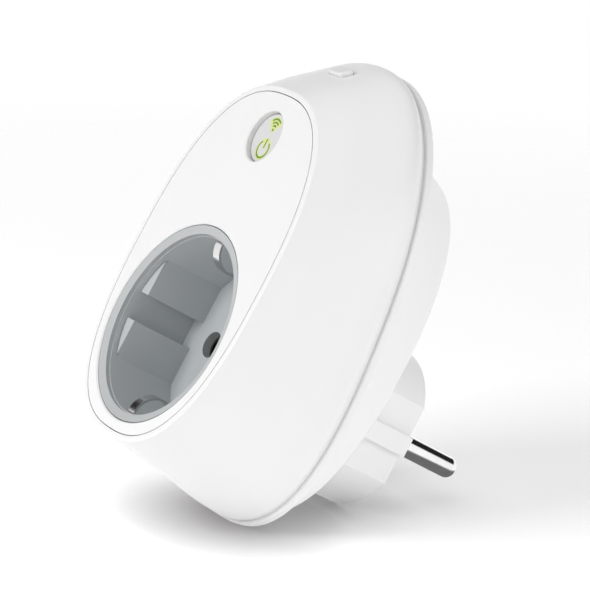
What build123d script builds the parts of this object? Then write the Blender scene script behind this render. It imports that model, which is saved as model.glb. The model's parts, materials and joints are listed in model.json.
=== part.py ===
"""Smart plug: a Wi-Fi switched mains adapter with a Schuko plug behind and a Schuko socket in front.

Frame: +X right, +Y towards the wall, +Z up, as plugged in. The origin lies midway between the two
pins on the plug's end face, so the pins reach from y = 0 to +19 and the front plate is at y = -58.
"""
from build123d import *
from math import atan, copysign, cos, pi, radians, sin
import os

# ---- Driving dimensions (mm) ----
FRONT_Y = -58.0          # face of the front plate
PIN_LENGTH = 19.0
PIN_RADIUS = 2.4
SHANK_RADIUS = 2.6       # of each pin, inside the plug body
PIN_SPACING = 19.0
RIM_WIDTH = 66.3
RIM_HEIGHT = 100.3

WALL = 2.0               # housing wall
GAP = 0.2                # gap round a loose or separate cover
RIM_CENTRE_Z = 18.75
RIM_REAR_Y = -29.2       # rear face of the rim, on its centre line
RIM_THICKNESS = 1.9
GROOVE_WIDTH = 1.3       # shadow groove between rim and front housing
GROOVE_DEPTH = 0.9
RIM_FILLET = 0.45
RIM_LEAN = atan(0.127)   # the rim's top leans towards the user
RIM_OVERHANG = 0.7       # how much wider the rim is than the front housing
RIM_POWERS = (2.23, 2.6)  # superellipse powers of an outline's top and bottom half

PLATE_WIDTH = 52.6
PLATE_HEIGHT = 78.2
PLATE_CENTRE_Z = 14.3
PLATE_THICKNESS = 2.0
PLATE_POWERS = (2.5, 2.5)
LIP = 1.3                # housing edge seen round the front plate
LIP_FILLET = 0.45
REAR_EDGE_FILLET = 0.25
TOP_BOW = (2.5, 0.6, 10)     # belly of the housing's top: its reach, how soon it starts, how late it ends
BOTTOM_BOW = (0.8, 4.0, 16)

BULGE_REAR_Y = -18.0
BULGE_WIDTH = 55.4
BULGE_HEIGHT = 80.5
BULGE_CENTRE_Z = 13.2
BULGE_POWERS = (2.3, 2.3)
BULGE_BASE_WIDTH = 60.4
BULGE_BASE_HEIGHT = 89.5
BULGE_BASE_CENTRE_Z = 15.25

PLUG_RADIUS = 18.35
PLUG_FLAT_X = 15.9
RIB_X = 17.4
RIB_WIDTH = 4.4
PLUG_END_WALL = 2.5
PLUG_END_FILLET = 0.4
PIN_CLEARANCE = 0.05

SOCKET_HOLE_RADIUS = 22.4
RECESS_RADIUS = 20.2
RECESS_FLOOR_Y = -39.4
BLOCK_FACE_X = 16.5
BLOCK_FRONT_Y = -55.0
BLOCK_GROOVE = 6.2
BLOCK_GAP = (0.3, 0.9)    # width and depth of the gap between a block's front and the wall
FLOOR_THICKNESS = 2.0
PIN_HOLE_RADIUS = 3.0

WINDOW_Z = 43.8
WINDOW_RADIUS = 5.8
BUTTON_FACE_Y = -56.7
BUTTON_FACE = 0.8         # thickness of the button's face
BUTTON_RADIUS = 5.6

os.makedirs("parts", exist_ok=True)


# ---- Shared helpers ----
def facing(y, z=0.0, lean=0.0):
    """Plane at (0, y, z) that faces the user; lean tips its top towards the user."""
    return Plane(origin=(0, y, z), x_dir=(1, 0, 0), z_dir=(0, -cos(lean), -sin(lean)))


def oval_points(half_width, half_height, powers, count=32):
    """Points round a superellipse whose top and bottom halves may have different powers."""
    points = []
    for step in range(count):
        angle = 2 * pi * step / count
        across, up = cos(angle), sin(angle)
        power = powers[0] if up > 0 else powers[1]
        x = half_width * copysign(abs(across) ** (2 / power), across)
        z = half_height * copysign(abs(up) ** (2 / power), up)
        points.append((x, z))
    return points


def oval(plane, width, height, powers, inset=0.0):
    """Oval face on a plane, drawn inset from the given full width and height."""
    with BuildSketch(plane) as sketch:
        with BuildLine():
            Spline(*oval_points(width / 2 - inset, height / 2 - inset, powers), periodic=True)
        make_face()
    return sketch.sketch


def blend(first, second, share):
    """Value that lies the given share of the way from first to second."""
    return first + (second - first) * share


def save(part, name):
    """Label a finished piece and write it as its own file."""
    part.label = name
    export_step(part, f"parts/{name}.step")


def rim_plane(ahead=0.0):
    """Leaning plane of the rim's rear face, moved ahead towards the user."""
    return facing(RIM_REAR_Y, RIM_CENTRE_Z, RIM_LEAN).offset(ahead)


def rim_oval(ahead, inset):
    height = (RIM_HEIGHT - RIM_THICKNESS * sin(RIM_LEAN)) / cos(RIM_LEAN)
    return oval(rim_plane(ahead), RIM_WIDTH, height, RIM_POWERS, inset)


def plate_oval(y, inset):
    return oval(facing(y, PLATE_CENTRE_Z), PLATE_WIDTH, PLATE_HEIGHT, PLATE_POWERS, inset)


SHELL_REAR_AHEAD = RIM_THICKNESS + GROOVE_WIDTH
SHELL_REAR_Y = RIM_REAR_Y - SHELL_REAR_AHEAD / cos(RIM_LEAN)


def bow(share, shape):
    """How far the housing bellies out beyond a straight taper."""
    reach, start, end = shape
    return reach * share**start * (1 - share**end)


def shell_section(share, inset):
    """Cross-section of the front housing, from the front plate (0) to its rear edge (1)."""
    top_bow = bow(share, TOP_BOW)
    bottom_bow = bow(share, BOTTOM_BOW)
    lean = RIM_LEAN * share
    centre_z = blend(PLATE_CENTRE_Z, RIM_CENTRE_Z, share) + (top_bow - bottom_bow) / 2
    plane = facing(blend(FRONT_Y, SHELL_REAR_Y, share), centre_z, lean)
    width = blend(PLATE_WIDTH + 2 * LIP, RIM_WIDTH - RIM_OVERHANG, share)
    height = blend(PLATE_HEIGHT + 2 * LIP, RIM_HEIGHT - RIM_OVERHANG, share) / cos(lean)
    powers = [blend(a, b, share) for a, b in zip(PLATE_POWERS, RIM_POWERS)]
    return oval(plane, width, height, powers, inset - (top_bow + bottom_bow) / 2)


PLATE_HOLE_CHAMFER = 0.3

# ---- Front plate: flat oval cover with the socket hole and the button window ----
PLATE_BACK_Y = FRONT_Y + PLATE_THICKNESS
with BuildPart() as front_plate:
    extrude(plate_oval(PLATE_BACK_Y, GAP / 2), amount=PLATE_THICKNESS)
    with Locations(facing(FRONT_Y)):
        Hole(SOCKET_HOLE_RADIUS)
    with Locations(facing(FRONT_Y, WINDOW_Z)):
        Hole(WINDOW_RADIUS)
    front_edges = front_plate.faces().sort_by(Axis.Y)[0].edges()
    chamfer(front_edges.filter_by(GeomType.CIRCLE), PLATE_HOLE_CHAMFER)
save(front_plate.part, "front_plate")

# ---- Places where pieces fasten inside the housing ----
SCREW_X = 21.5
SCREW_Z = 22.0
SCREW_PLACES = [(-SCREW_X, SCREW_Z), (SCREW_X, SCREW_Z)]
SCREW_RADIUS = 1.25
SCREW_POST_RADIUS = 2.8
SCREW_POST_REAR_Y = -22.2
SCREW_POST_LENGTH = 29.0
SCREW_HOLE_DEPTH = 14.0
POST_RIB = (10.0, 1.6, 16.0)  # rib between each post and the shell: width, thickness, length
POST_RIB_REAR_Y = -36.0
BOARD_RAIL = 1.4          # rails either side of the small board under the top button
SETTINGS_SLOPE = radians(40.0)
SETTINGS_Y = -48.0
SETTINGS_Z = 62.95
SETTINGS_SIZE = (5.3, 3.4)
SETTINGS_CORNER = 0.9
SETTINGS_HEIGHT = 1.25   # how far the top button stands proud
SETTINGS_BOARD = (9.0, 7.0, 1.0)
SETTINGS_BOARD_DEPTH = 7.3
settings_plane = Plane(
    origin=(0, SETTINGS_Y, SETTINGS_Z),
    x_dir=(1, 0, 0),
    z_dir=(0, -sin(SETTINGS_SLOPE), cos(SETTINGS_SLOPE)),
)


def shell_wall(share):
    """Wall of the front housing, thicker towards the front plate."""
    return WALL + 0.6 * (1 - share)


# ---- Front housing: bowed oval shell, open behind, with a ledge for the front plate ----
SHARES = (0, 0.25, 0.5, 0.7, 0.85, 1)
with BuildPart() as shell_blank:
    loft([shell_section(share, 0) for share in SHARES])
    fillet(shell_blank.faces().sort_by(Axis.Y)[0].edges(), LIP_FILLET)
    fillet(shell_blank.faces().sort_by(Axis.Y)[-1].edges(), REAR_EDGE_FILLET)

with BuildPart() as inner_mounts:
    with BuildSketch(facing(POST_RIB_REAR_Y)):
        with GridLocations(2 * SCREW_X + POST_RIB[0], 0, 2, 1):
            with Locations((0, SCREW_Z)):
                Rectangle(POST_RIB[0], POST_RIB[1])
    extrude(amount=POST_RIB[2])
    with BuildSketch(settings_plane.offset(-SETTINGS_BOARD_DEPTH)):
        with GridLocations(SETTINGS_BOARD[0] + BOARD_RAIL + GAP, 0, 2, 1):
            Rectangle(BOARD_RAIL, SETTINGS_BOARD[1])
    extrude(amount=SETTINGS_BOARD_DEPTH - WALL / 2)
    add(shell_blank.part, mode=Mode.INTERSECT)

with BuildPart() as front_housing:
    add(shell_blank.part)
    loft([shell_section(share, shell_wall(share)) for share in SHARES], mode=Mode.SUBTRACT)
    add(inner_mounts.part)
    with BuildSketch(facing(SCREW_POST_REAR_Y)):
        with Locations(*SCREW_PLACES):
            Circle(SCREW_POST_RADIUS)
    extrude(amount=SCREW_POST_LENGTH)
    extrude(plate_oval(PLATE_BACK_Y, -GAP / 2), amount=2 * PLATE_THICKNESS, mode=Mode.SUBTRACT)
    with BuildSketch(settings_plane.offset(-2 * WALL)):
        RectangleRounded(SETTINGS_SIZE[0] + 2 * GAP, SETTINGS_SIZE[1] + 2 * GAP, SETTINGS_CORNER + GAP)
    extrude(amount=4 * WALL, mode=Mode.SUBTRACT)
    with Locations(facing(SCREW_POST_REAR_Y)):
        with Locations(*SCREW_PLACES):
            Hole(SCREW_RADIUS, SCREW_HOLE_DEPTH)
save(front_housing.part, "front_housing")

# ---- Rear housing: rim, tapering bulge and hollow plug body, moulded in one ----
TONGUE_DEPTH = 1.2       # locating tongue that reaches into the front housing
TONGUE_CLEARANCE = 0.5
TONGUE_OUTSET = RIM_OVERHANG / 2 + WALL + TONGUE_CLEARANCE  # from the rim's outline to the tongue
OPENING_DEPTH = 8.0      # cut that opens the rim, the groove web and the tongue
TONGUE_INSET = 3.6       # from the rim's outline to the inside of the tongue
CAVITY_REAR_Y = BULGE_REAR_Y - WALL
BULGE_FILLET = 0.8
BULGE_BASE_AHEAD = 0.4   # the bulge's widest section lies within the rim's thickness
SCREW_SEAT_RADIUS = 4.0
SCREW_SEAT_DEPTH = 1.8
SCREW_HEAD_BORE = 2.8
BOARD_POST_RADIUS = 2.2
BOARD_SCREW_DEPTH = 5.0


def plug_section(y, shrink=0.0, rib=True):
    """Round plug body with two flats, each with a guide rib, shrunk inwards for the hollow."""
    with BuildSketch(facing(y)) as sketch:
        Circle(PLUG_RADIUS - shrink)
        Rectangle(2 * (PLUG_FLAT_X - shrink), 2 * PLUG_RADIUS, mode=Mode.INTERSECT)
        if rib:
            Rectangle(2 * RIB_X, RIB_WIDTH)
    return sketch.sketch


def bulge_base(ahead, inset):
    """Widest outline of the bulge, where it leaves the leaning rim."""
    drop = BULGE_BASE_CENTRE_Z - RIM_CENTRE_Z
    plane = rim_plane(ahead)
    plane.origin += drop * Vector(0, -sin(RIM_LEAN), cos(RIM_LEAN))
    return oval(plane, BULGE_BASE_WIDTH, BULGE_BASE_HEIGHT / cos(RIM_LEAN), BULGE_POWERS, inset)


def bulge_sections(inset, rear_y):
    rear = oval(facing(rear_y, BULGE_CENTRE_Z), BULGE_WIDTH, BULGE_HEIGHT, BULGE_POWERS, inset)
    return [bulge_base(BULGE_BASE_AHEAD, inset), rear]


EARTH_WIDTH = 2.6
EARTH_THICKNESS = 0.5
EARTH_GROOVE_WIDTH = EARTH_WIDTH + 1.6
EARTH_PLUG_Z = 17.4      # middle of the earth strip in the plug's top and bottom grooves
BOARD_REAR_Y = -30.9
BOARD_SCREW_RADIUS = 1.1
BOARD_POSTS = [(-15.5, 28.5), (15.5, 28.5), (0.0, 49.8)]

with BuildPart() as rim:
    extrude(rim_oval(0, 0), amount=RIM_THICKNESS)
    fillet(rim.edges(), RIM_FILLET)

with BuildPart() as plug_body:
    extrude(plug_section(0), amount=-CAVITY_REAR_Y)
    fillet(plug_body.faces().sort_by(Axis.Y)[-1].edges(), PLUG_END_FILLET)

with BuildPart() as rear_housing:
    loft(bulge_sections(0, BULGE_REAR_Y))
    fillet(rear_housing.faces().sort_by(Axis.Y)[-1].edges(), BULGE_FILLET)
    add(rim.part)
    extrude(rim_oval(RIM_THICKNESS, GROOVE_DEPTH), amount=GROOVE_WIDTH)
    extrude(rim_oval(SHELL_REAR_AHEAD, TONGUE_OUTSET), amount=TONGUE_DEPTH)
    extrude(rim_oval(RIM_THICKNESS, TONGUE_INSET), amount=OPENING_DEPTH, mode=Mode.SUBTRACT)
    extrude(bulge_base(BULGE_BASE_AHEAD, WALL), amount=OPENING_DEPTH, mode=Mode.SUBTRACT)
    loft(bulge_sections(WALL, CAVITY_REAR_Y), mode=Mode.SUBTRACT)
    add(plug_body.part)
    extrude(plug_section(-PLUG_END_WALL, WALL, rib=False), amount=-CAVITY_REAR_Y, mode=Mode.SUBTRACT)
    with BuildSketch(facing(BULGE_REAR_Y)):
        with Locations(*SCREW_PLACES):
            Circle(SCREW_SEAT_RADIUS)
    extrude(amount=BULGE_REAR_Y - SCREW_POST_REAR_Y - GAP / 2)
    with BuildSketch(facing(CAVITY_REAR_Y + WALL / 4)):
        with Locations(*BOARD_POSTS):
            Circle(BOARD_POST_RADIUS)
    extrude(amount=CAVITY_REAR_Y + WALL / 4 - BOARD_REAR_Y)
    with BuildSketch(facing(0)):
        with Locations((0, PLUG_RADIUS), (0, -PLUG_RADIUS)):
            Rectangle(EARTH_GROOVE_WIDTH, 2 * (PLUG_RADIUS - EARTH_PLUG_Z + EARTH_THICKNESS))
    extrude(amount=-BULGE_REAR_Y, mode=Mode.SUBTRACT)
    with BuildSketch(facing(BULGE_REAR_Y)):
        with Locations((0, EARTH_PLUG_Z), (0, -EARTH_PLUG_Z)):
            Rectangle(EARTH_WIDTH + 2 * GAP, EARTH_THICKNESS + 2 * GAP)
    extrude(amount=2 * WALL, mode=Mode.SUBTRACT)
    with Locations(facing(0)):
        with GridLocations(PIN_SPACING, 0, 2, 1):
            Hole(SHANK_RADIUS + PIN_CLEARANCE, 2 * PLUG_END_WALL)
    with Locations(facing(BULGE_REAR_Y)):
        with Locations(*SCREW_PLACES):
            CounterBoreHole(SCREW_RADIUS + GAP, SCREW_HEAD_BORE, SCREW_SEAT_DEPTH)
    with Locations(facing(BOARD_REAR_Y)):
        with Locations(*BOARD_POSTS):
            Hole(BOARD_SCREW_RADIUS, BOARD_SCREW_DEPTH)
save(rear_housing.part, "rear_housing")

# ---- Socket: trim ring and recessed insert with guide blocks ----
RING_FRONT_Y = FRONT_Y + 0.3
RING_BACK_Y = -56.2
RING_INNER_RADIUS = 20.4
SOCKET_OUTER_RADIUS = SOCKET_HOLE_RADIUS - GAP
INSERT_FLANGE_RADIUS = 23.0
INSERT_BACK_Y = RECESS_FLOOR_Y + FLOOR_THICKNESS

with BuildPart() as socket_ring:
    with BuildSketch(facing(RING_BACK_Y)):
        Circle(SOCKET_OUTER_RADIUS)
        Circle(RING_INNER_RADIUS, mode=Mode.SUBTRACT)
    extrude(amount=RING_BACK_Y - RING_FRONT_Y)
    inner_edge = socket_ring.faces().sort_by(Axis.Y)[0].edges().sort_by(SortBy.RADIUS)[0]
    chamfer(inner_edge, 0.5, 1.7)
save(socket_ring.part, "socket_ring")

CLIP_Y = -50.35          # each earth clip is a half ring about this Y
CLIP_RADIUS = 4.75
CLIP_CREST_Z = 14.9
CLIP_TIP_Z = 19.8
CLIP_REAR_Y = CLIP_Y + CLIP_RADIUS

with BuildPart() as socket_insert:
    with BuildSketch(facing(INSERT_BACK_Y)):
        Circle(SOCKET_OUTER_RADIUS)
    extrude(amount=INSERT_BACK_Y - RING_BACK_Y)
    with BuildSketch(facing(PLATE_BACK_Y + 1.6)):
        Circle(INSERT_FLANGE_RADIUS)
    extrude(amount=1.4)
    with BuildSketch(facing(RECESS_FLOOR_Y)):
        Circle(RECESS_RADIUS)
    extrude(amount=20, mode=Mode.SUBTRACT)
    with BuildSketch(facing(RECESS_FLOOR_Y)):
        Circle(RECESS_RADIUS + 0.5)
        Rectangle(2 * BLOCK_FACE_X, 3 * RECESS_RADIUS, mode=Mode.SUBTRACT)
        Rectangle(3 * RECESS_RADIUS, BLOCK_GROOVE, mode=Mode.SUBTRACT)
    extrude(amount=RECESS_FLOOR_Y - BLOCK_FRONT_Y)
    with Locations(facing(RECESS_FLOOR_Y)):
        with GridLocations(PIN_SPACING, 0, 2, 1):
            Hole(PIN_HOLE_RADIUS, 2 * FLOOR_THICKNESS)
    with BuildSketch(facing(BLOCK_FRONT_Y + BLOCK_GAP[1])):
        Circle(RECESS_RADIUS)
        Circle(RECESS_RADIUS - BLOCK_GAP[0], mode=Mode.SUBTRACT)
    extrude(amount=2 * BLOCK_GAP[1], mode=Mode.SUBTRACT)
    with BuildSketch(Plane.XY):
        with Locations((0, CLIP_REAR_Y)):
            Rectangle(EARTH_WIDTH + 2 * GAP, EARTH_THICKNESS + 3 * GAP)
    extrude(amount=3 * RECESS_RADIUS, both=True, mode=Mode.SUBTRACT)
save(socket_insert.part, "socket_insert")

# ---- Earth strips: clip in the socket, then back to the plug's contact ----
EARTH_RUN_Z = 23.6
EARTH_BRIDGE_Y = -26.0
earth_route = [
    (CLIP_Y - CLIP_RADIUS, CLIP_TIP_Z),
    (CLIP_Y - CLIP_RADIUS, CLIP_CREST_Z),
    (CLIP_REAR_Y, CLIP_CREST_Z),
    (CLIP_REAR_Y, EARTH_RUN_Z),
    (EARTH_BRIDGE_Y - 6.0, EARTH_RUN_Z),
    (EARTH_BRIDGE_Y - 2.5, EARTH_PLUG_Z),
    (-1.2, EARTH_PLUG_Z),
]
EARTH_BENDS = [CLIP_RADIUS - 0.02, CLIP_RADIUS - 0.02, 1.2, 1.5, 1.5]


def strip(plane, route, radii, width, thickness):
    """Bent metal strip: a centre line on a plane, given a thickness, and its width across the plane."""
    with BuildPart() as part:
        with BuildSketch(plane):
            with BuildLine():
                FilletPolyline(*route, radius=radii)
            trace(line_width=thickness)
        extrude(amount=width / 2, both=True)
    return part.part


upper_earth_strip = strip(Plane.YZ, earth_route, EARTH_BENDS, EARTH_WIDTH, EARTH_THICKNESS)
save(upper_earth_strip, "upper_earth_strip")
save(mirror(upper_earth_strip, Plane.XY), "lower_earth_strip")

with BuildPart() as earth_bridge:
    with BuildSketch(facing(EARTH_BRIDGE_Y + EARTH_THICKNESS / 2)):
        Rectangle(EARTH_WIDTH, 2 * EARTH_PLUG_Z - EARTH_THICKNESS)
    extrude(amount=EARTH_THICKNESS)
save(earth_bridge.part, "earth_bridge")

# ---- Plug pins, the carrier that holds them, and the socket's contacts ----
PIN_REAR_Y = -12.2
COLLAR_RADIUS = 3.4
COLLAR_Y = (-10.0, -8.0)
CARRIER_Y = (-13.0, -PLUG_END_WALL)
CONTACT_Y = (INSERT_BACK_Y, -28.6)
CONTACT_BORE_RADIUS = 2.45
CONTACT_OUTER_RADIUS = 3.25
CONTACT_CARRIER_BACK_Y = -30.2
BUSBAR_Y = -25.5
BUSBAR_TOP_Z = 28.2
STRIP_WIDTH = 3.0
STRIP_THICKNESS = 0.8
CONTACT_ROOT = 2.6        # unsplit length at the rear of a contact's sleeve
CONTACT_TAIL_Z = CONTACT_OUTER_RADIUS - STRIP_THICKNESS / 2
CONTACT_TAILS = {
    "live": [
        (CONTACT_Y[1] - 1.5, CONTACT_TAIL_Z),
        (CONTACT_Y[1] + 0.8, CONTACT_TAIL_Z),
        (CONTACT_Y[1] + 0.8, BUSBAR_TOP_Z),
        (BOARD_REAR_Y, BUSBAR_TOP_Z),
    ],
    "neutral": [
        (CONTACT_Y[1] - 1.5, CONTACT_TAIL_Z),
        (BUSBAR_Y - 1.4, CONTACT_TAIL_Z),
        (BUSBAR_Y - 0.8, 6.0),
        (BUSBAR_Y - 0.8, 9.0),
    ],
}
CONTACT_BENDS = {"live": [0.8, 0.8], "neutral": [0.8, 0.6]}
PIN_SIDES = {"live": -PIN_SPACING / 2, "neutral": PIN_SPACING / 2}


def round_bar(x, y_range, radius, z=0.0):
    """Plain round bar along Y."""
    with BuildPart() as bar:
        with BuildSketch(facing(y_range[1])):
            with Locations((x, z)):
                Circle(radius)
        extrude(amount=y_range[1] - y_range[0])
    return bar.part


for side, pin_x in PIN_SIDES.items():
    with BuildPart() as pin:
        add(round_bar(pin_x, (0, PIN_LENGTH), PIN_RADIUS))
        fillet(pin.edges().sort_by(Axis.Y)[-1], PIN_RADIUS - 0.5)
        add(round_bar(pin_x, (PIN_REAR_Y, 0), SHANK_RADIUS))
        add(round_bar(pin_x, COLLAR_Y, COLLAR_RADIUS))
    save(pin.part, f"{side}_pin")

    with BuildPart() as contact:
        add(round_bar(pin_x, CONTACT_Y, CONTACT_OUTER_RADIUS))
        bore = round_bar(pin_x, (CONTACT_Y[0] - 1, CONTACT_Y[1] + 1), CONTACT_BORE_RADIUS)
        add(bore, mode=Mode.SUBTRACT)
        with BuildSketch(facing(CONTACT_Y[1] - CONTACT_ROOT)):
            with Locations((pin_x, 0)):
                Rectangle(1.0, 3 * CONTACT_OUTER_RADIUS)
        extrude(amount=20, mode=Mode.SUBTRACT)
        tail_plane = Plane.YZ.offset(pin_x)
        add(strip(tail_plane, CONTACT_TAILS[side], CONTACT_BENDS[side], STRIP_WIDTH, STRIP_THICKNESS))
    save(contact.part, f"{side}_contact")

    busbar_end_z = BUSBAR_TOP_Z + 3.4
    busbar_route = [(PIN_REAR_Y, 0), (BUSBAR_Y, 0), (BUSBAR_Y, busbar_end_z), (BOARD_REAR_Y, busbar_end_z)]
    busbar = strip(Plane.YZ.offset(pin_x), busbar_route, [1.5, 1.5], STRIP_WIDTH, STRIP_THICKNESS)
    save(busbar, f"{side}_busbar")

with BuildPart() as pin_carrier:
    extrude(plug_section(CARRIER_Y[1], WALL + GAP, rib=False), amount=CARRIER_Y[1] - CARRIER_Y[0])
    for pin_x in PIN_SIDES.values():
        collar_well = round_bar(pin_x, (CARRIER_Y[0] - 1, COLLAR_Y[1]), COLLAR_RADIUS + PIN_CLEARANCE)
        add(collar_well, mode=Mode.SUBTRACT)
    with Locations(facing(CARRIER_Y[0])):
        with GridLocations(PIN_SPACING, 0, 2, 1):
            Hole(SHANK_RADIUS + PIN_CLEARANCE)
save(pin_carrier.part, "pin_carrier")

with BuildPart() as contact_carrier:
    with BuildSketch(facing(CONTACT_CARRIER_BACK_Y)):
        RectangleRounded(PIN_SPACING + 11, 13, 2.5)
        with GridLocations(PIN_SPACING, 0, 2, 1):
            Circle(CONTACT_OUTER_RADIUS + 0.1, mode=Mode.SUBTRACT)
    extrude(amount=CONTACT_CARRIER_BACK_Y - INSERT_BACK_Y)
save(contact_carrier.part, "contact_carrier")

# ---- Front button with its two lit icons ----
ICON_LINE = 0.42
ICON_ANGLE = radians(42)  # half the angle of the gap in the ring, and of each arc
POWER_ICON_Z = -2.5      # below the button's centre
POWER_ICON_RADIUS = 2.0
WIFI_ICON_Z = 1.95       # the dot at the foot of the arcs
WIFI_DOT_RADIUS = 0.32
WIFI_RADII = (0.95, 1.7, 2.45)
BUTTON_SKIRT_RADIUS = 6.8
BUTTON_SKIRT_Y = -55.7
BUTTON_BACK_Y = -54.9
BUTTON_STEM_RADIUS = 1.6
BUTTON_STEM_END_Y = -53.75
BUTTON_STEM_Z = 0.4
LENS_RADIUS = 4.7
LENS_THICKNESS = 0.7
button_back_face_y = BUTTON_FACE_Y + BUTTON_FACE


def arc_ends(centre_z, radius, half_angle):
    """Left and right ends of an arc that is centred on straight up."""
    return [
        (side * radius * sin(half_angle), centre_z + radius * cos(half_angle))
        for side in (-1, 1)
    ]


def power_icon(y):
    """Open ring with a bar through the gap."""
    with BuildSketch(facing(y, WINDOW_Z)) as sketch:
        left, right = arc_ends(POWER_ICON_Z, POWER_ICON_RADIUS, ICON_ANGLE)
        with BuildLine():
            ThreePointArc(left, (0, POWER_ICON_Z - POWER_ICON_RADIUS), right)
        trace(line_width=ICON_LINE)
        with BuildLine():
            Line((0, POWER_ICON_Z + 0.2), (0, POWER_ICON_Z + POWER_ICON_RADIUS + 0.3))
        trace(line_width=ICON_LINE)
    return sketch.sketch


def wifi_icon(y):
    """Dot with three arcs above it."""
    with BuildSketch(facing(y, WINDOW_Z)) as sketch:
        with Locations((0, WIFI_ICON_Z)):
            Circle(WIFI_DOT_RADIUS)
        for radius in WIFI_RADII:
            left, right = arc_ends(WIFI_ICON_Z, radius, ICON_ANGLE)
            with BuildLine():
                ThreePointArc(left, (0, WIFI_ICON_Z + radius), right)
            trace(line_width=ICON_LINE)
    return sketch.sketch


with BuildPart() as power_button:
    add(round_bar(0, (BUTTON_FACE_Y, BUTTON_SKIRT_Y), BUTTON_RADIUS, WINDOW_Z))
    fillet(power_button.faces().sort_by(Axis.Y)[0].edges(), 0.3)
    add(round_bar(0, (BUTTON_SKIRT_Y, BUTTON_BACK_Y), BUTTON_SKIRT_RADIUS, WINDOW_Z))
    lens_well = round_bar(0, (button_back_face_y, BUTTON_BACK_Y + 1), LENS_RADIUS + 0.05, WINDOW_Z)
    add(lens_well, mode=Mode.SUBTRACT)
    with BuildSketch(facing(BUTTON_BACK_Y, WINDOW_Z)):
        with Locations((0, BUTTON_STEM_Z)):
            Rectangle(2 * BUTTON_SKIRT_RADIUS - 2, 2)
    extrude(amount=BUTTON_BACK_Y - button_back_face_y - LENS_THICKNESS)
    stem_range = (button_back_face_y + LENS_THICKNESS, BUTTON_STEM_END_Y)
    add(round_bar(0, stem_range, BUTTON_STEM_RADIUS, WINDOW_Z + BUTTON_STEM_Z))
    extrude(power_icon(BUTTON_FACE_Y + 1), amount=2, mode=Mode.SUBTRACT)
    extrude(wifi_icon(BUTTON_FACE_Y + 1), amount=2, mode=Mode.SUBTRACT)
save(power_button.part, "power_button")

for name, icon, share in (("power_icon_lens", power_icon, -1), ("wifi_icon_lens", wifi_icon, 1)):
    with BuildPart() as lens:
        with BuildSketch(facing(button_back_face_y + LENS_THICKNESS, WINDOW_Z)):
            Circle(LENS_RADIUS)
            with Locations((0, 0.6 + share * (LENS_RADIUS + 0.15))):
                Rectangle(3 * LENS_RADIUS, 2 * LENS_RADIUS, mode=Mode.INTERSECT)
        extrude(amount=LENS_THICKNESS)
        extrude(icon(button_back_face_y), amount=BUTTON_FACE)
    save(lens.part, name)

# ---- Tact switches: a body with a well, and the plunger that the button pushes ----
SWITCH_SIZE = 4.4
SWITCH_HEIGHT = 2.0
PLUNGER_RADIUS = 1.0
PLUNGER_OUT = 0.7        # plunger's reach above the body at rest
PLUNGER_WELL = 1.5
CONTROL_BOARD = (24.0, 21.0, 1.0)
CONTROL_BOARD_Z = 40.5
CONTROL_FRONT_Y = -51.0
SETTINGS_STEM_RADIUS = 1.5


def tact_switch(base_plane):
    """Switch body on a plane, with a well that leaves room for the plunger's travel."""
    with BuildPart() as body:
        with BuildSketch(base_plane):
            RectangleRounded(SWITCH_SIZE, SWITCH_SIZE, 0.5)
        extrude(amount=SWITCH_HEIGHT)
        with BuildSketch(base_plane.offset(SWITCH_HEIGHT)):
            Circle(PLUNGER_RADIUS + 0.1)
        extrude(amount=-PLUNGER_WELL, mode=Mode.SUBTRACT)
    return body.part


def switch_plunger(base_plane):
    """Round plunger whose foot stands in the switch's well."""
    with BuildPart() as plunger:
        with BuildSketch(base_plane.offset(SWITCH_HEIGHT + PLUNGER_OUT)):
            Circle(PLUNGER_RADIUS)
        extrude(amount=-PLUNGER_OUT - 0.6)
    return plunger.part


power_switch_plane = facing(CONTROL_FRONT_Y, WINDOW_Z + BUTTON_STEM_Z)
settings_board_top = settings_plane.offset(1.0 - SETTINGS_BOARD_DEPTH)
for name, plane in (("power_switch", power_switch_plane), ("settings_switch", settings_board_top)):
    save(tact_switch(plane), name)
    save(switch_plunger(plane), f"{name}_plunger")

# ---- Settings button on top, with the small board that carries its switch ----
SETTINGS_SKIRT_TOP = -2.6
SETTINGS_SKIRT = 1.0
settings_stem_end = 1.05 - SETTINGS_BOARD_DEPTH + SWITCH_HEIGHT + PLUNGER_OUT

with BuildPart() as settings_button:
    with BuildSketch(settings_plane.offset(SETTINGS_SKIRT_TOP)):
        RectangleRounded(*SETTINGS_SIZE, 0.9)
    extrude(amount=SETTINGS_HEIGHT - SETTINGS_SKIRT_TOP)
    top_face = settings_button.faces().sort_by(lambda face: face.center().dot(settings_plane.z_dir))[-1]
    fillet(top_face.edges(), 0.35)
    with BuildSketch(settings_plane.offset(SETTINGS_SKIRT_TOP)):
        RectangleRounded(SETTINGS_SIZE[0] + 1.6, SETTINGS_SIZE[1] + 1.6, 1.2)
    extrude(amount=-SETTINGS_SKIRT)
    with BuildSketch(settings_plane.offset(settings_stem_end)):
        Circle(SETTINGS_STEM_RADIUS)
    extrude(amount=SETTINGS_SKIRT_TOP - settings_stem_end)
save(settings_button.part, "settings_button")

with BuildPart() as settings_board:
    with BuildSketch(settings_plane.offset(-SETTINGS_BOARD_DEPTH)):
        Rectangle(SETTINGS_BOARD[0], SETTINGS_BOARD[1])
    extrude(amount=SETTINGS_BOARD[2])
save(settings_board.part, "settings_board")

# ---- Control board behind the button: lights and Wi-Fi module ----
LED_SIZE = (1.6, 0.9, 0.8)
LED_PLACES = {"power_led": POWER_ICON_Z - 0.9, "wifi_led": WIFI_ICON_Z + 2.2}
CONTROL_REAR_Y = CONTROL_FRONT_Y + CONTROL_BOARD[2]
MODULE = (16.0, 8.6, 0.8)
MODULE_Z = 35.1
SHIELD = (11.0, 7.4, 1.8)
MODULE_BACK_Y = CONTROL_REAR_Y + MODULE[2]


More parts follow.
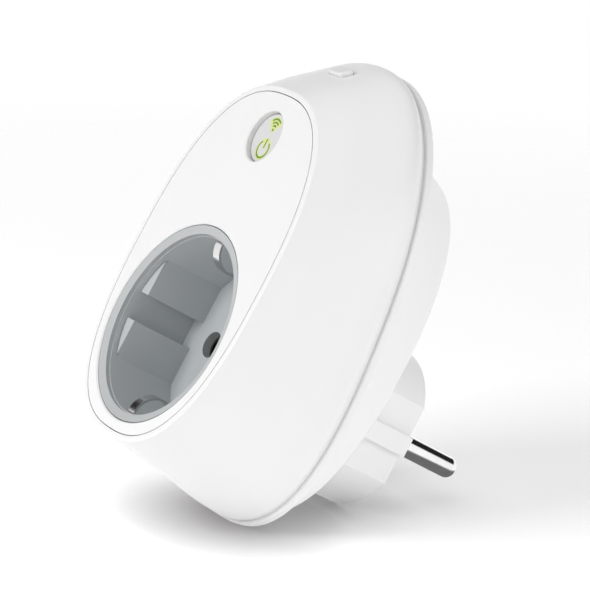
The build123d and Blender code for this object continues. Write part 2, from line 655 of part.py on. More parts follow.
def block(plane, width, height, depth, radius=0.0):
    """Box standing on a plane."""
    with BuildPart() as box:
        with BuildSketch(plane):
            if radius:
                RectangleRounded(width, height, radius)
            else:
                Rectangle(width, height)
        extrude(amount=depth)
    return box.part


def behind(y, x=0.0, z=0.0):
    """Plane at (x, y, z) that faces the wall, for parts on the back of a board."""
    return Plane(origin=(x, y, z), x_dir=(-1, 0, 0), z_dir=(0, 1, 0))


def before(y, x=0.0, z=0.0):
    """Plane at (x, y, z) that faces the user, for parts on the front of a board."""
    return Plane(origin=(x, y, z), x_dir=(1, 0, 0), z_dir=(0, -1, 0))


save(block(facing(CONTROL_REAR_Y, CONTROL_BOARD_Z), *CONTROL_BOARD, radius=1.5), "control_board")
for name, drop in LED_PLACES.items():
    save(block(facing(CONTROL_FRONT_Y, WINDOW_Z + drop), *LED_SIZE), name)
save(block(behind(CONTROL_REAR_Y, 0, MODULE_Z), *MODULE), "wifi_module")
save(block(behind(MODULE_BACK_Y, 2.0, MODULE_Z), *SHIELD, radius=0.5), "wifi_shield")

# ---- Main board and what stands on its front ----
BOARD = (37.0, 27.4, 1.6)
BOARD_CENTRE_Z = 38.9
BOARD_CORNER = 5.4        # cut off the two upper corners, clear of the bulge's wall
BOARD_FRONT_Y = BOARD_REAR_Y - BOARD[2]

with BuildPart() as main_board:
    add(block(facing(BOARD_REAR_Y, BOARD_CENTRE_Z), *BOARD))
    upper_corners = main_board.edges().filter_by(Axis.Y).group_by(Axis.Z)[-1]
    chamfer(upper_corners, BOARD_CORNER)
    with Locations(facing(BOARD_REAR_Y)):
        with Locations(*BOARD_POSTS):
            Hole(BOARD_SCREW_RADIUS + 0.1)
        with Locations((-PIN_SPACING / 2, BUSBAR_TOP_Z), (-PIN_SPACING / 2, busbar_end_z)):
            Hole(0.6)
save(main_board.part, "main_board")

CAPACITOR_RADIUS = 4.0
CAPACITOR_HEIGHT = 12.0
TRANSFORMER = (13.0, 10.4, 12.0)
TRANSFORMER_PLACE = (-10.0, 45.8)
CORE_WEB = 2.6

with BuildPart() as filter_capacitors:
    for x in (6.3, 14.5):
        add(round_bar(x, (BOARD_FRONT_Y - CAPACITOR_HEIGHT, BOARD_FRONT_Y), CAPACITOR_RADIUS, 45.6))
    fillet(filter_capacitors.faces().sort_by(Axis.Y)[0:2].edges(), 0.6)
save(filter_capacitors.part, "filter_capacitors")

with BuildPart() as transformer_core:
    add(block(before(BOARD_FRONT_Y - 1.6, *TRANSFORMER_PLACE), *TRANSFORMER))
    with BuildSketch(Plane.XY.offset(TRANSFORMER_PLACE[1] - TRANSFORMER[1])):
        with Locations((TRANSFORMER_PLACE[0], BOARD_FRONT_Y - 1.6 - TRANSFORMER[2] / 2)):
            Rectangle(TRANSFORMER[0] - 2 * CORE_WEB, TRANSFORMER[2] - 2 * CORE_WEB)
    extrude(amount=2 * TRANSFORMER[1], mode=Mode.SUBTRACT)
save(transformer_core.part, "transformer_core")

with BuildPart() as transformer_coil:
    with BuildSketch(Plane.XY.offset(TRANSFORMER_PLACE[1] - TRANSFORMER[1] / 2)):
        with Locations((TRANSFORMER_PLACE[0], BOARD_FRONT_Y - 1.6 - TRANSFORMER[2] / 2)):
            RectangleRounded(TRANSFORMER[0] - 2 * CORE_WEB - 0.2, TRANSFORMER[2] - 2 * CORE_WEB - 0.2, 1.5)
    extrude(amount=TRANSFORMER[1])
save(transformer_coil.part, "transformer_coil")

with BuildPart() as board_link:
    with BuildSketch(facing(BOARD_FRONT_Y)):
        with GridLocations(2.0, 0, 5, 1):
            with Locations((6.0, 40.35)):
                Rectangle(0.64, 0.64)
    extrude(amount=BOARD_FRONT_Y - CONTROL_REAR_Y)
    with BuildSketch(facing(BOARD_FRONT_Y)):
        with Locations((6.0, 40.35)):
            Rectangle(10.4, 1.6)
    extrude(amount=2.4)
save(board_link.part, "board_link")

# ---- Components on the main board's rear ----
save(block(behind(BOARD_REAR_Y, 0, 34.0), 13.0, 5.0, 8.0, radius=0.6), "safety_capacitor")
save(block(behind(BOARD_REAR_Y, 10.5, 40.0), 8.0, 5.0, 3.6, radius=0.4), "bridge_rectifier")
save(block(behind(BOARD_REAR_Y, 0, 40.0), 5.0, 4.4, 1.5), "meter_chip")

with BuildPart() as varistor:
    add(round_bar(-9.0, (BOARD_REAR_Y + 2.0, BOARD_REAR_Y + 6.0), 5.0, 42.5))
    fillet(varistor.edges(), 1.2)
    with BuildSketch(facing(BOARD_REAR_Y + 3.0)):
        with Locations((-11.5, 42.5), (-6.5, 42.5)):
            Circle(0.4)
    extrude(amount=3.0)
save(varistor.part, "varistor")

FUSE_Y = BOARD_REAR_Y + 3.2
FUSE_Z = 46.5
FUSE_X = (4.0, 12.0)
FUSE_RADIUS = 1.8
with BuildPart() as fuse:
    with BuildSketch(Plane.YZ.offset(FUSE_X[0])):
        with Locations((FUSE_Y, FUSE_Z)):
            Circle(FUSE_RADIUS)
    extrude(amount=FUSE_X[1] - FUSE_X[0])
    fillet(fuse.edges(), 0.6)
    wire = [(2.6, BOARD_REAR_Y), (2.6, FUSE_Y), (13.4, FUSE_Y), (13.4, BOARD_REAR_Y)]
    add(strip(Plane.XY.offset(FUSE_Z), wire, 0.8, 0.7, 0.7))
save(fuse.part, "fuse")

SHUNT_X = (-17.0, -9.0)
SHUNT_Y = BOARD_REAR_Y + 3.0
SHUNT_Z = 35.4
shunt_route = [(SHUNT_X[0], BOARD_REAR_Y), (SHUNT_X[0], SHUNT_Y), (SHUNT_X[1], SHUNT_Y)]
shunt_route.append((SHUNT_X[1], BOARD_REAR_Y))
save(strip(Plane.XY.offset(SHUNT_Z), shunt_route, 0.8, 1.8, 0.6), "measuring_shunt")

# ---- Relay: sealed case, coil, yoke, hinged armature and fixed contact ----
RELAY = (25.0, 12.0, 14.0)
RELAY_Z = 33.2
RELAY_BASE = 2.0
RELAY_WALL = 0.8
RELAY_BASE_Y = BOARD_FRONT_Y - RELAY_BASE
COIL_RADIUS = 4.2
COIL_X = (-10.2, -1.6)
COIL_Y = -40.6
CORE_STICK_OUT = 0.3
FLANGE_RADIUS = 4.8
FLANGE = 0.7
YOKE_WIDTH = 8.0
YOKE_THICKNESS = 1.1
YOKE_Y = RELAY_BASE_Y - 0.7
ARMATURE_X = -0.6
ARMATURE_THICKNESS = 0.9
PIVOT_Y = YOKE_Y - YOKE_THICKNESS / 2
LEAF_Y = PIVOT_Y - 1.2
CONTACT_X = 8.0
CONTACT_BUTTON_RADIUS = 1.3

save(block(facing(BOARD_FRONT_Y, RELAY_Z), RELAY[0], RELAY[1], RELAY_BASE, radius=0.6), "relay_base")

with BuildPart() as relay_cover:
    add(block(facing(RELAY_BASE_Y, RELAY_Z), RELAY[0], RELAY[1], RELAY[2] - RELAY_BASE, radius=0.6))
    inner_width, inner_height = RELAY[0] - 2 * RELAY_WALL, RELAY[1] - 2 * RELAY_WALL
    inner_depth = RELAY[2] - RELAY_BASE - RELAY_WALL
    add(block(facing(RELAY_BASE_Y, RELAY_Z), inner_width, inner_height, inner_depth), mode=Mode.SUBTRACT)
save(relay_cover.part, "relay_cover")

with BuildPart() as relay_coil:
    for x_start, x_end, radius in (
        (COIL_X[0], COIL_X[1], COIL_RADIUS),
        (COIL_X[0], COIL_X[0] + FLANGE, FLANGE_RADIUS),
        (COIL_X[1] - FLANGE, COIL_X[1], FLANGE_RADIUS),
        (COIL_X[0] - CORE_STICK_OUT, COIL_X[1] + CORE_STICK_OUT, 1.5),
    ):
        with BuildSketch(Plane.YZ.offset(x_start)):
            with Locations((COIL_Y, RELAY_Z)):
                Circle(radius)
        extrude(amount=x_end - x_start)
save(relay_coil.part, "relay_coil")

yoke_x = COIL_X[0] - CORE_STICK_OUT - YOKE_THICKNESS / 2
yoke_route = [(yoke_x, COIL_Y - 3.5), (yoke_x, YOKE_Y), (ARMATURE_X - 0.3, YOKE_Y)]
save(strip(Plane.XY.offset(RELAY_Z), yoke_route, 0.8, YOKE_WIDTH, YOKE_THICKNESS), "relay_yoke")

with BuildPart() as relay_armature:
    with BuildSketch(Plane.XY.offset(RELAY_Z - YOKE_WIDTH / 2)):
        with Locations((ARMATURE_X + ARMATURE_THICKNESS / 2, (COIL_Y - 4 + PIVOT_Y) / 2)):
            Rectangle(ARMATURE_THICKNESS, PIVOT_Y - COIL_Y + 4)
    extrude(amount=YOKE_WIDTH)
    with BuildSketch(Plane.XY.offset(RELAY_Z - 2)):
        with Locations(((ARMATURE_X + CONTACT_X + 1.3) / 2, LEAF_Y)):
            Rectangle(CONTACT_X + 1.3 - ARMATURE_X, 0.4)
    extrude(amount=4)
    with BuildSketch(Plane(origin=(CONTACT_X, LEAF_Y, RELAY_Z), x_dir=(1, 0, 0), z_dir=(0, -1, 0))):
        Circle(CONTACT_BUTTON_RADIUS)
    extrude(amount=1.1)
save(relay_armature.part, "relay_armature")

FIXED_CONTACT_Y = LEAF_Y - 1.1 - 0.6
with BuildPart() as relay_fixed_contact:
    with BuildSketch(before(FIXED_CONTACT_Y, CONTACT_X, RELAY_Z)):
        Circle(CONTACT_BUTTON_RADIUS)
    extrude(amount=1.0)
    fixed_y = FIXED_CONTACT_Y - 1.2
    fixed_route = [(CONTACT_X - 1.3, fixed_y), (11.0, fixed_y), (11.0, RELAY_BASE_Y)]
    add(strip(Plane.XY.offset(RELAY_Z), fixed_route, 0.7, 4.0, 0.5))
save(relay_fixed_contact.part, "relay_fixed_contact")

# ---- Screws: identical fasteners share one node ----
HEAD_HEIGHT = 1.4


def screws(plane, places, head_radius, shaft_radius, shaft_length):
    """Pan-head screws whose heads stand on a plane and whose shafts go down through it."""
    with BuildPart() as group:
        with BuildSketch(plane):
            with Locations(*places):
                Circle(head_radius)
        extrude(amount=HEAD_HEIGHT)
        with BuildSketch(plane):
            with Locations(*places):
                Circle(shaft_radius)
        extrude(amount=-shaft_length)
        with BuildSketch(plane.offset(HEAD_HEIGHT)):
            with Locations(*places):
                Rectangle(2.4, 0.5)
                Rectangle(0.5, 2.4)
        extrude(amount=-0.8, mode=Mode.SUBTRACT)
    return group.part


housing_screw_seat = behind(BULGE_REAR_Y - SCREW_SEAT_DEPTH)
housing_screw_places = [(-x, z) for x, z in SCREW_PLACES]
save(screws(housing_screw_seat, housing_screw_places, 2.6, SCREW_RADIUS, 14.0), "housing_screws")
save(screws(facing(BOARD_FRONT_Y), BOARD_POSTS, 2.0, BOARD_SCREW_RADIUS, 6.0), "board_screws")
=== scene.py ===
"""Looks of the smart plug: materials, floor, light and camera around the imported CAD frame."""
import json
from math import cos, pi, radians, sin

import bpy
from mathutils import Matrix, Vector

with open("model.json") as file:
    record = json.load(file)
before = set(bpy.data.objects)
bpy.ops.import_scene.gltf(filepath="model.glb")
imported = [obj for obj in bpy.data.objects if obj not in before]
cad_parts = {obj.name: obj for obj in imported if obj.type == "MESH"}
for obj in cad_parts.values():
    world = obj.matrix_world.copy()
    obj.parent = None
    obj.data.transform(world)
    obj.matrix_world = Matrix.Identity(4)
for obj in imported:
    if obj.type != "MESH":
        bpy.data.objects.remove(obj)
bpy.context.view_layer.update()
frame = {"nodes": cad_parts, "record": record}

MM = 0.001
nodes_by_name = frame["nodes"]

# ---- Where the camera stands and how the plug lies (metres, radians) ----
CAMERA_PLACE = Vector((0.51037, -0.36798, 0.00994))
CAMERA_AZIMUTH = radians(56.695)
CAMERA_ELEVATION = radians(-0.724)
CAMERA_ROLL = radians(27.73)
CAMERA_LENS = 175.3      # mm
SENSOR_WIDTH = 36.0      # mm
CAMERA_CLIP_START = 0.01
REST_LEAN = radians(29.6)  # the plug lies tipped back on its rim and the end of its plug body

# ---- Button icons (metres) ----
POWER_ICON_HEIGHT = 41.3 * MM
POWER_ICON_RADIUS = 2.0 * MM
POWER_BAR_RISE = 0.2 * MM
WIFI_ICON_HEIGHT = 45.75 * MM
WIFI_ICON_REACH = 2.45 * MM
HALO_WIDTH = 0.36 * MM
HALO_SOFT = 0.2 * MM
# The yellow is painted light: cap colour that stands in for the glow of the lit icons.
PAINTED_GLOW_COLOR = (0.68, 0.71, 0.28)

# ---- Floor (metres) ----
FLOOR_RADIUS = 0.45
FLOOR_STEPS = 96
FLOOR_FADE_START = 0.4   # share of the radius at which the floor starts to fade out
FLOOR_COLOR = (0.97, 0.97, 0.97)
FLOOR_GLOW = 0.16
# Colour of the painted shadow on the floor near the plug.
SHADOW_COLOR = (0.16, 0.145, 0.15)
SHADOW_REACH = 14 * MM   # how near the plug the painted shadow on the floor reaches
PAINTED_REFLECTION_PLACE = (9.5 * MM, 9 * MM, 0)  # painted reflection: a dark glowing patch on the floor under the pins, bright beyond, that only mirrors see
PAINTED_REFLECTION_RADIUS = 16 * MM
PAINTED_REFLECTION_DARK, PAINTED_REFLECTION_BRIGHT = 0.19, 1.25

# ---- Studio light ----
WORLD_RIGHT, WORLD_LEFT = 0.70, 0.38  # strength of the diffuse light from either side
WORLD_FALL_START = -0.2
HORIZON_TONE = 1.2
CEILING_TONE = 0.7
# Height above the floor (0 level, 1 straight up) and tone of what metal mirrors.
MIRROR_BANDS = [(0.24, HORIZON_TONE), (0.29, 0.01), (0.52, 0.01), (0.62, CEILING_TONE)]
LIGHT_AIM = Vector((0, -0.025, 0.015))


def camera_axes():
    """Right, up and backward directions of the camera."""
    back = Vector((
        sin(CAMERA_AZIMUTH) * cos(CAMERA_ELEVATION),
        -cos(CAMERA_AZIMUTH) * cos(CAMERA_ELEVATION),
        sin(CAMERA_ELEVATION),
    ))
    level = (-back).cross(Vector((0, 0, 1))).normalized()
    over = back.cross(level)
    right = level * cos(CAMERA_ROLL) + over * sin(CAMERA_ROLL)
    return right, back.cross(right), back


def make_camera():
    data = bpy.data.cameras.new("camera")
    data.lens = CAMERA_LENS
    data.sensor_width = SENSOR_WIDTH
    data.clip_start = CAMERA_CLIP_START
    camera = bpy.data.objects.new("camera", data)
    rotation = Matrix(camera_axes()).transposed().to_4x4()
    camera.matrix_world = Matrix.Translation(CAMERA_PLACE) @ rotation
    bpy.context.scene.collection.objects.link(camera)
    bpy.context.scene.camera = camera


make_camera()


# ---- Shader helpers ----
class Shader:
    """A node material with one Principled shader, built up by short calls."""

    def __init__(self, name, color, roughness, metallic=0.0):
        self.material = bpy.data.materials.new(name)
        self.material.use_nodes = True
        self.tree = self.material.node_tree
        self.surface = self.tree.nodes["Principled BSDF"]
        self.surface.inputs["Base Color"].default_value = (*color, 1)
        self.surface.inputs["Roughness"].default_value = roughness
        self.surface.inputs["Metallic"].default_value = metallic
        self.place = self.node("ShaderNodeTexCoord").outputs["Object"]

    def node(self, kind, **settings):
        made = self.tree.nodes.new(kind)
        for key, value in settings.items():
            setattr(made, key, value)
        return made

    def feed(self, socket, value):
        """Set a socket to a number, or link it to another node's output."""
        if isinstance(value, bpy.types.NodeSocket):
            self.tree.links.new(value, socket)
        else:
            socket.default_value = value

    def set(self, name, value):
        self.feed(self.surface.inputs[name], value)

    def math(self, operation, first, second=0.0):
        made = self.node("ShaderNodeMath", operation=operation)
        self.feed(made.inputs[0], first)
        self.feed(made.inputs[1], second)
        return made.outputs[0]

    def vector_math(self, operation, first, second=(0, 0, 0)):
        made = self.node("ShaderNodeVectorMath", operation=operation)
        self.feed(made.inputs[0], first)
        self.feed(made.inputs[1], second)
        return made.outputs

    def stretched(self, scale):
        """The object's coordinates, scaled along each axis."""
        made = self.node("ShaderNodeMapping")
        self.feed(made.inputs["Vector"], self.place)
        made.inputs["Scale"].default_value = scale
        return made.outputs["Vector"]

    def noise(self, size, detail=2.0, place=None):
        """Noise whose blobs are about size metres across."""
        made = self.node("ShaderNodeTexNoise")
        self.feed(made.inputs["Vector"], place or self.place)
        made.inputs["Scale"].default_value = 1 / size
        made.inputs["Detail"].default_value = detail
        return made.outputs["Fac"]

    def grain(self, size):
        """Cells of about size metres across, as a spark-eroded mould leaves them."""
        made = self.node("ShaderNodeTexVoronoi", feature="SMOOTH_F1")
        self.feed(made.inputs["Vector"], self.place)
        made.inputs["Scale"].default_value = 1 / size
        return made.outputs["Distance"]

    def spread(self, value, low, high, start=0.3, end=0.7):
        """Map a value between start and end to the range from low to high."""
        made = self.node("ShaderNodeMapRange")
        self.feed(made.inputs["Value"], value)
        made.inputs["From Min"].default_value = start
        made.inputs["From Max"].default_value = end
        made.inputs["To Min"].default_value = low
        made.inputs["To Max"].default_value = high
        return made.outputs["Result"]

    def mix(self, factor, first, second):
        """Blend two colours."""
        made = self.node("ShaderNodeMix", data_type="RGBA")
        self.feed(made.inputs["Factor"], factor)
        self.feed(made.inputs["A"], (*first, 1) if isinstance(first, tuple) else first)
        self.feed(made.inputs["B"], (*second, 1) if isinstance(second, tuple) else second)
        return made.outputs["Result"]

    def mix_shaders(self, factor, first, second):
        made = self.node("ShaderNodeMixShader")
        self.feed(made.inputs["Fac"], factor)
        self.feed(made.inputs[1], first)
        self.feed(made.inputs[2], second)
        return made.outputs["Shader"]

    def bump(self, height, distance, strength=1.0):
        """Add a bump of the given depth in metres on top of any bump that is already there."""
        made = self.node("ShaderNodeBump")
        made.inputs["Distance"].default_value = distance
        made.inputs["Strength"].default_value = strength
        self.feed(made.inputs["Height"], height)
        normal = self.surface.inputs["Normal"]
        if normal.is_linked:
            self.tree.links.new(normal.links[0].from_socket, made.inputs["Normal"])
        self.tree.links.new(made.outputs["Normal"], normal)

    def round_line(self, x, z):
        """Distance from a line through (x, z) that runs along Y, and the X and Z from that line."""
        moved = self.vector_math("SUBTRACT", self.place, (x, 0, z))["Vector"]
        flat = self.vector_math("MULTIPLY", moved, (1, 0, 1))["Vector"]
        split = self.node("ShaderNodeSeparateXYZ")
        self.feed(split.inputs[0], moved)
        return self.vector_math("LENGTH", flat)["Value"], split.outputs["X"], split.outputs["Z"]

    def band(self, value, middle, half_width):
        """One inside a band round the middle value, fading to zero just outside it."""
        off = self.math("ABSOLUTE", self.math("SUBTRACT", value, middle))
        return self.spread(off, 1, 0, half_width, half_width + HALO_SOFT)

    def painted_glow_mask(self):
        """Mask of the painted glow: a thin soft outline round the power ring, its bar and the arcs of the
        Wi-Fi sign.
        """
        distance, across, up = self.round_line(0, POWER_ICON_HEIGHT)
        ring = self.band(distance, POWER_ICON_RADIUS, HALO_WIDTH)
        bar = self.math(
            "MULTIPLY",
            self.band(across, 0, HALO_WIDTH),
            self.band(up, POWER_ICON_RADIUS / 2 + POWER_BAR_RISE, POWER_ICON_RADIUS / 2),
        )
        distance, across, up = self.round_line(0, WIFI_ICON_HEIGHT)
        edge = WIFI_ICON_REACH + HALO_WIDTH
        reach = self.spread(distance, 1, 0, edge, edge + HALO_SOFT)
        above = self.math("SUBTRACT", up, self.math("ABSOLUTE", across))
        fan = self.math("MULTIPLY", reach, self.spread(above, 0, 1, -3 * HALO_WIDTH, -1.5 * HALO_WIDTH))
        return self.math("MAXIMUM", self.math("MAXIMUM", ring, bar), fan)


def shade(color, factor):
    return tuple(channel * factor for channel in color)


# ---- Materials ----
def moulded(name, color, roughness, grain_size, grain_depth, gloss=0.5, variation=0.03):
    """Moulded plastic: fine spark-eroded grain, faint flow marks, uneven gloss."""
    shader = Shader(name, color, roughness)
    flow = shader.noise(18 * MM, 3.0)
    shader.set("Base Color", shader.mix(flow, shade(color, 1 - variation), color))
    shader.set("Roughness", shader.spread(shader.noise(4 * MM), roughness - 0.04, roughness + 0.05))
    shader.set("Specular IOR Level", gloss)
    shader.bump(shader.grain(grain_size), grain_depth)
    shader.bump(flow, 6 * grain_depth, 0.3)
    return shader


def white_shell():
    """White housing plastic: slightly translucent, with a faint sheen."""
    shader = moulded("white_shell", (0.82, 0.82, 0.82), 0.42, 0.28 * MM, 0.004 * MM, variation=0.012)
    shader.set("Subsurface Weight", 0.12)
    shader.set("Subsurface Radius", (1.2 * MM, 1.2 * MM, 1.2 * MM))
    shader.set("Coat Weight", 0.08)
    shader.set("Coat Roughness", 0.3)
    return shader


def plated(name, color, roughness, brush=(1, 1, 1)):
    """Plated or drawn metal: fine drawing marks along one axis and small stains."""
    shader = Shader(name, color, roughness, metallic=1.0)
    lines = shader.noise(0.4 * MM, 4.0, shader.stretched(brush))
    stain = shader.noise(3 * MM, 3.0)
    shader.set("Base Color", shader.mix(shader.spread(stain, 0, 0.35), color, shade(color, 0.7)))
    shader.set("Roughness", shader.spread(lines, roughness * 0.7, roughness * 1.5))
    shader.bump(lines, 0.004 * MM)
    return shader


def circuit_board():
    """Solder resist with copper tracks showing as a faint raised grid."""
    resist = (0.02, 0.16, 0.07)
    shader = Shader("circuit_board", resist, 0.35)
    tracks = shader.node("ShaderNodeTexBrick", offset=0.35)
    shader.feed(tracks.inputs["Vector"], shader.place)
    tracks.inputs["Scale"].default_value = 1 / (3 * MM)
    tracks.inputs["Mortar Size"].default_value = 0.06
    shader.set("Base Color", shader.mix(tracks.outputs["Fac"], resist, (0.03, 0.26, 0.12)))
    shader.set("Roughness", shader.spread(shader.noise(2 * MM), 0.28, 0.42))
    shader.bump(tracks.outputs["Fac"], 0.03 * MM)
    return shader


def winding():
    """Enamelled wire laid turn by turn."""
    shader = Shader("coil_winding", (0.50, 0.17, 0.05), 0.3, metallic=0.8)
    turns = shader.node("ShaderNodeTexWave", wave_type="BANDS", bands_direction="X")
    shader.feed(turns.inputs["Vector"], shader.place)
    turns.inputs["Scale"].default_value = 1 / (1.6 * MM)
    turns.inputs["Distortion"].default_value = 0.6
    # Painted shade: the colour darkens between the wire turns and lightens on their crowns.
    shader.set("Base Color", shader.mix(turns.outputs["Fac"], (0.22, 0.06, 0.02), (0.60, 0.22, 0.07)))
    shader.set("Roughness", shader.spread(shader.noise(1 * MM), 0.22, 0.4))
    shader.bump(turns.outputs["Fac"], 0.1 * MM)
    return shader


def lit_icon():
    """Translucent green light guide, dimly lit from behind."""
    shader = Shader("icon_lens", (0.09, 0.20, 0.03), 0.35)
    patch = shader.noise(1.2 * MM)
    shader.set("Base Color", shader.mix(patch, (0.08, 0.17, 0.03), (0.12, 0.24, 0.03)))
    shader.set("Emission Color", shader.mix(patch, (0.10, 0.28, 0.03), (0.16, 0.36, 0.04)))
    shader.set("Emission Strength", 0.25)
    shader.set("Roughness", shader.spread(patch, 0.3, 0.42))
    shader.bump(shader.grain(0.2 * MM), 0.003 * MM)
    return shader


def button_face():
    """Pale grey cap with painted light: a thin yellow line in its colour round the lit icons stands in for
    their glow.
    """
    shader = moulded("button_face", (0.66, 0.66, 0.66), 0.45, 0.25 * MM, 0.003 * MM)
    plain = shader.surface.inputs["Base Color"].links[0].from_socket
    # Painted light: yellow mixed into the cap's colour where the icons' glow would fall.
    shader.set("Base Color", shader.mix(shader.painted_glow_mask(), plain, PAINTED_GLOW_COLOR))
    return shader


SHADERS = {
    "white_shell": white_shell(),
    "grey_trim": moulded("grey_trim", (0.46, 0.475, 0.48), 0.45, 0.3 * MM, 0.005 * MM, 0.45),
    "dark_insert": moulded("dark_insert", (0.50, 0.525, 0.535), 0.5, 0.35 * MM, 0.008 * MM, 0.4, 0.05),
    "earth_metal": plated("earth_metal", (0.70, 0.70, 0.69), 0.16, (1, 0.05, 0.05)),
    "pin_metal": plated("pin_metal", (0.78, 0.78, 0.78), 0.10, (1, 0.04, 1)),
    # Painted shade: the socket contacts are made nearly black so the holes they sit in look dark.
    "contact_brass": plated("contact_brass", (0.16, 0.15, 0.12), 0.35, (1, 0.1, 1)),
    "busbar_copper": plated("busbar_copper", (0.72, 0.42, 0.28), 0.3, (1, 1, 0.05)),
    "carrier_plastic": moulded("carrier_plastic", (0.035, 0.035, 0.038), 0.55, 0.4 * MM, 0.01 * MM),
    "button_face": button_face(),
    "icon_lens": lit_icon(),
    "settings_cap": moulded("settings_cap", (0.80, 0.80, 0.80), 0.35, 0.25 * MM, 0.003 * MM),
    "switch_body": moulded("switch_body", (0.02, 0.02, 0.022), 0.45, 0.3 * MM, 0.006 * MM),
    "switch_plunger": moulded("switch_plunger", (0.12, 0.03, 0.01), 0.4, 0.3 * MM, 0.006 * MM),
    "circuit_board": circuit_board(),
    "shield_metal": plated("shield_metal", (0.62, 0.62, 0.63), 0.32, (0.1, 1, 1)),
    "led": moulded("led", (0.55, 0.80, 0.25), 0.2, 0.3 * MM, 0.002 * MM),
    "relay_case": moulded("relay_case", (0.02, 0.05, 0.22), 0.4, 0.3 * MM, 0.005 * MM),
    "relay_iron": plated("relay_iron", (0.42, 0.42, 0.43), 0.4, (0.1, 1, 1)),
    "coil_winding": winding(),
    "relay_contact": plated("relay_contact", (0.70, 0.62, 0.50), 0.28),
    "capacitor_sleeve": moulded("capacitor_sleeve", (0.02, 0.025, 0.05), 0.28, 0.5 * MM, 0.004 * MM),
    "x_capacitor_case": moulded("x_capacitor_case", (0.65, 0.45, 0.06), 0.45, 0.4 * MM, 0.006 * MM),
    "chip_black": moulded("chip_black", (0.015, 0.015, 0.016), 0.6, 0.25 * MM, 0.008 * MM),
    "varistor_blue": moulded("varistor_blue", (0.02, 0.07, 0.28), 0.25, 1.2 * MM, 0.03 * MM),
    "fuse_ceramic": moulded("fuse_ceramic", (0.55, 0.50, 0.42), 0.55, 0.3 * MM, 0.006 * MM),
    "screw_steel": plated("screw_steel", (0.50, 0.50, 0.51), 0.3, (1, 0.2, 1)),
}
for row in frame["record"]["subparts"]:
    piece = nodes_by_name[row["node"]]
    piece.data.materials.clear()
    piece.data.materials.append(SHADERS[row["material_slot"]].material)

# ---- Floor ----
floor_up = Vector((0, -sin(REST_LEAN), cos(REST_LEAN)))
floor_away = Vector((0, cos(REST_LEAN), sin(REST_LEAN)))


def lowest_point():
    """How far along the floor's normal the plug's lowest point lies."""
    return min(vertex.co.dot(floor_up) for piece in nodes_by_name.values() for vertex in piece.data.vertices)


def floor_material():
    """Pale floor that fades out at its edge, has painted shade under the plug, shows a painted reflection to
    glossy rays and can't be seen from below.
    """
    shader = Shader("floor", FLOOR_COLOR, 0.7)
    shader.set("Emission Color", (1, 1, 1, 1))
    shader.set("Emission Strength", FLOOR_GLOW)
    shader.set("Roughness", shader.spread(shader.noise(30 * MM), 0.66, 0.74))
    # Painted shade: ambient occlusion darkens the floor's colour near the plug in place of its shadow.
    under = shader.node("ShaderNodeAmbientOcclusion", samples=8)
    under.inputs["Distance"].default_value = SHADOW_REACH
    shader.set("Base Color", shader.mix(under.outputs["AO"], SHADOW_COLOR, FLOOR_COLOR))

    # Painted reflection: for glossy rays the floor glows dark near the pins and bright farther out, giving
    # the pins their dark and bright bands.
    painted_reflection = shader.node("ShaderNodeEmission")
    off_painted_reflection = shader.vector_math("DISTANCE", shader.place, PAINTED_REFLECTION_PLACE)["Value"]
    glow = shader.spread(off_painted_reflection, PAINTED_REFLECTION_DARK, PAINTED_REFLECTION_BRIGHT, PAINTED_REFLECTION_RADIUS, 1.4 * PAINTED_REFLECTION_RADIUS)
    shader.feed(painted_reflection.inputs["Strength"], glow)
    in_mirror = shader.node("ShaderNodeLightPath").outputs["Is Glossy Ray"]
    solid = shader.mix_shaders(in_mirror, shader.surface.outputs["BSDF"], painted_reflection.outputs["Emission"])

    radius = shader.vector_math("LENGTH", shader.place)["Value"]
    fade = shader.spread(radius, 1, 0, FLOOR_FADE_START * FLOOR_RADIUS, FLOOR_RADIUS)
    front = shader.math("SUBTRACT", 1.0, shader.node("ShaderNodeNewGeometry").outputs["Backfacing"])
    clear = shader.node("ShaderNodeBsdfTransparent").outputs["BSDF"]
    blend = shader.mix_shaders(shader.math("MULTIPLY", fade, front), clear, solid)
    shader.feed(shader.tree.nodes["Material Output"].inputs["Surface"], blend)
    return shader.material


def make_floor():
    mesh = bpy.data.meshes.new("floor")
    turns = [2 * pi * step / FLOOR_STEPS for step in range(FLOOR_STEPS)]
    rim = [(FLOOR_RADIUS * cos(turn), FLOOR_RADIUS * sin(turn), 0) for turn in turns]
    mesh.from_pydata(rim, [], [list(range(FLOOR_STEPS))])
    mesh.materials.append(floor_material())
    floor = bpy.data.objects.new("floor", mesh)
    axes = Matrix((Vector((1, 0, 0)), floor_away, floor_up)).transposed().to_4x4()
    floor.matrix_world = Matrix.Translation(floor_up * lowest_point()) @ axes
    bpy.context.scene.collection.objects.link(floor)


# ---- World and lights ----
def towards_camera():
    """Level direction, along the floor, from the plug to the camera."""
    level = CAMERA_PLACE - floor_up * CAMERA_PLACE.dot(floor_up)
    return level.normalized()


def camera_right():
    """Level direction, along the floor, to the right as the camera sees it."""
    return floor_up.cross(towards_camera())


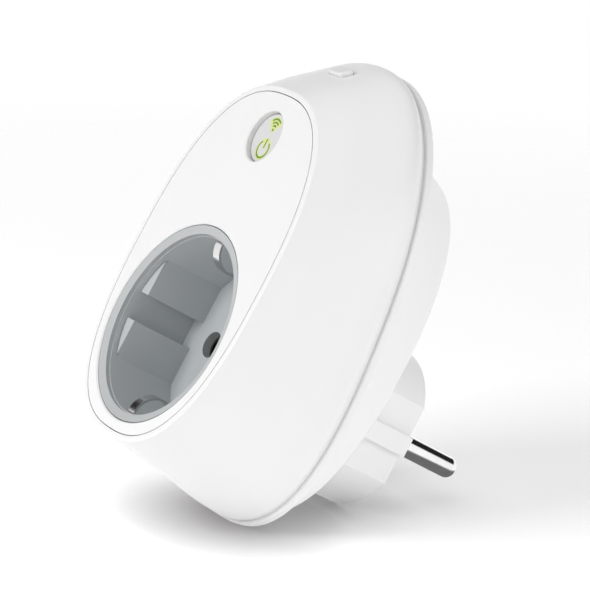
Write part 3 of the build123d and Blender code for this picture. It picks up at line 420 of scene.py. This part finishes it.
def make_world():
    """White to the camera, uneven soft light to diffuse surfaces, and bands to glossy ones."""
    world = bpy.data.worlds.new("studio")
    world.use_nodes = True
    tree = world.node_tree
    direction = tree.nodes.new("ShaderNodeTexCoord").outputs["Generated"]
    seen = tree.nodes.new("ShaderNodeLightPath").outputs

    def along(axis):
        """How far a ray points along an axis, from -1 to 1."""
        made = tree.nodes.new("ShaderNodeVectorMath")
        made.operation = "DOT_PRODUCT"
        tree.links.new(direction, made.inputs[0])
        made.inputs[1].default_value = axis
        return made.outputs["Value"]

    def choose(factor, first, second):
        made = tree.nodes.new("ShaderNodeMixShader")
        tree.links.new(factor, made.inputs["Fac"])
        tree.links.new(first, made.inputs[1])
        tree.links.new(second, made.inputs[2])
        return made.outputs["Shader"]

    light = tree.nodes["Background"]
    light.inputs["Color"].default_value = (1, 1, 1, 1)
    fall = tree.nodes.new("ShaderNodeMapRange")
    fall.inputs["From Min"].default_value = WORLD_FALL_START
    fall.inputs["To Min"].default_value = WORLD_RIGHT
    fall.inputs["To Max"].default_value = WORLD_LEFT
    tree.links.new(along(-camera_right()), fall.inputs["Value"])
    tree.links.new(fall.outputs["Result"], light.inputs["Strength"])

    # What metal mirrors: bright low round the object, then a dark flag, then a grey ceiling.
    bands = tree.nodes.new("ShaderNodeValToRGB")
    horizon, zenith = bands.color_ramp.elements
    horizon.position, zenith.position = 0.0, 1.0
    horizon.color = (HORIZON_TONE, HORIZON_TONE, HORIZON_TONE, 1)
    zenith.color = (CEILING_TONE, CEILING_TONE, CEILING_TONE, 1)
    for position, tone in MIRROR_BANDS:
        bands.color_ramp.elements.new(position).color = (tone, tone, tone, 1)
    tree.links.new(along(floor_up), bands.inputs["Fac"])
    mirrored = tree.nodes.new("ShaderNodeBackground")
    tree.links.new(bands.outputs["Color"], mirrored.inputs["Color"])

    backdrop = tree.nodes.new("ShaderNodeBackground")
    backdrop.inputs["Color"].default_value = (1, 1, 1, 1)
    studio = choose(seen["Is Glossy Ray"], light.outputs["Background"], mirrored.outputs["Background"])
    result = choose(seen["Is Camera Ray"], studio, backdrop.outputs["Background"])
    tree.links.new(result, tree.nodes["World Output"].inputs["Surface"])
    bpy.context.scene.world = world


def softbox(name, azimuth, elevation, distance, size, power):
    """Square area light. Its azimuth turns about the floor's normal from the camera's side."""
    a, e = radians(azimuth), radians(elevation)
    direction = (towards_camera() * cos(a) + camera_right() * sin(a)) * cos(e) + floor_up * sin(e)
    data = bpy.data.lights.new(name, "AREA")
    data.size = size
    data.energy = power
    lamp = bpy.data.objects.new(name, data)
    lamp.location = LIGHT_AIM + direction * distance
    lamp.rotation_mode = "QUATERNION"
    lamp.rotation_quaternion = direction.to_track_quat("Z", "Y")
    bpy.context.scene.collection.objects.link(lamp)


make_floor()
make_world()
softbox("left_front", azimuth=-60, elevation=32, distance=1.0, size=0.5, power=5.6)
softbox("right_back", azimuth=60, elevation=10, distance=1.0, size=0.5, power=2.1)
bpy.context.scene.view_settings.view_transform = "Standard"
